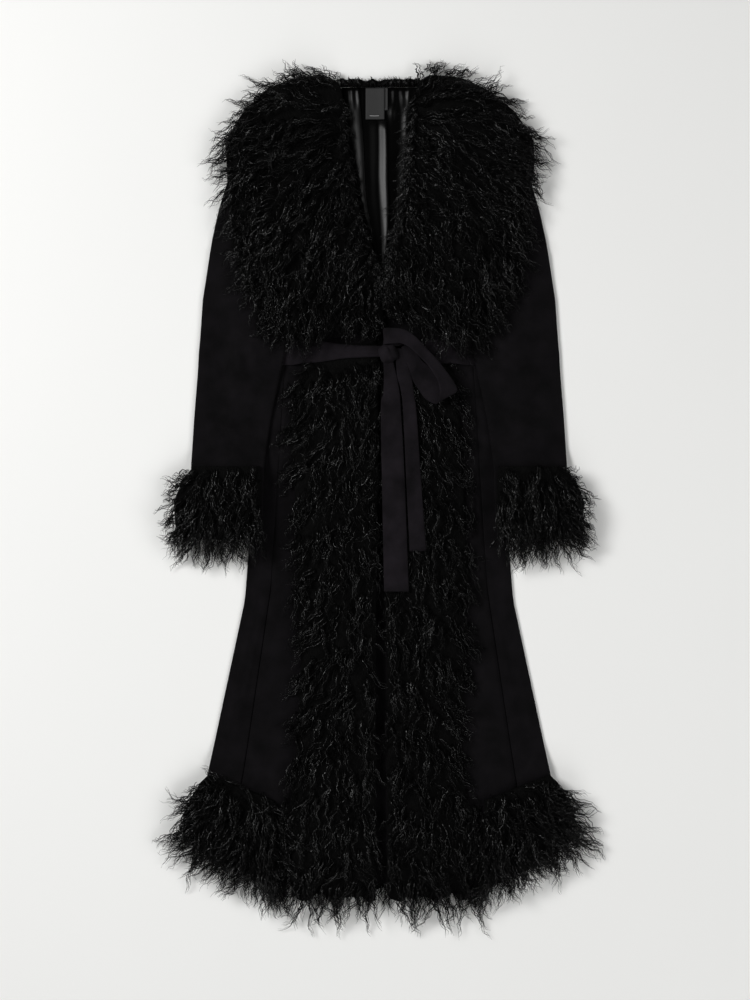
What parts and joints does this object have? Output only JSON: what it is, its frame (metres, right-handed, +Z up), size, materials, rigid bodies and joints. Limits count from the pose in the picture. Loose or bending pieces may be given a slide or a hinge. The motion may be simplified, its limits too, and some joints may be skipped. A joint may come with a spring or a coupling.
{
  "type": "belted coat",
  "caption": "Long black wool coat laid flat, with a long curly fur shawl collar, front bands, cuffs and hem, and a tied cloth belt.",
  "frame": {"origin": "on the surface that the coat lies on, under the middle of its outline", "axes": "+Y from the hem towards the collar, +X to the viewer's right seen from above, +Z up out of the surface"},
  "size_m": [0.6344, 1.2984, 0.0424],
  "materials": {
    "wool": "brushed wool coating, matt with a faint nap",
    "fur": "long curly lamb fur, fine glints",
    "satin": "satin lining, soft gloss",
    "belt": "self-fabric wool, matt",
    "label": "woven, matt, bare"
  },
  "bodies": {
    "root": {"back": "wool", "front_left": "wool", "front_right": "wool", "side_left": "wool", "side_right": "wool", "sleeve_left_under": "wool", "sleeve_left_top": "wool", "sleeve_right_under": "wool", "sleeve_right_top": "wool", "back_lining": "satin", "neck_label": "label", "hanging_loop": "satin", "collar_left": "fur", "collar_right": "fur", "collar_back": "fur", "band_left": "fur", "band_right": "fur", "hem_left": "fur", "hem_right": "fur", "hem_back": "fur", "cuff_left_under": "fur", "cuff_left_top": "fur", "cuff_right_under": "fur", "cuff_right_top": "fur", "belt_back": "belt", "belt_front_left": "belt", "belt_front_right": "belt", "belt_knot": "belt", "belt_loop": "belt", "belt_end_long": "belt", "belt_end_short": "belt"}
  },
  "joints": []
}
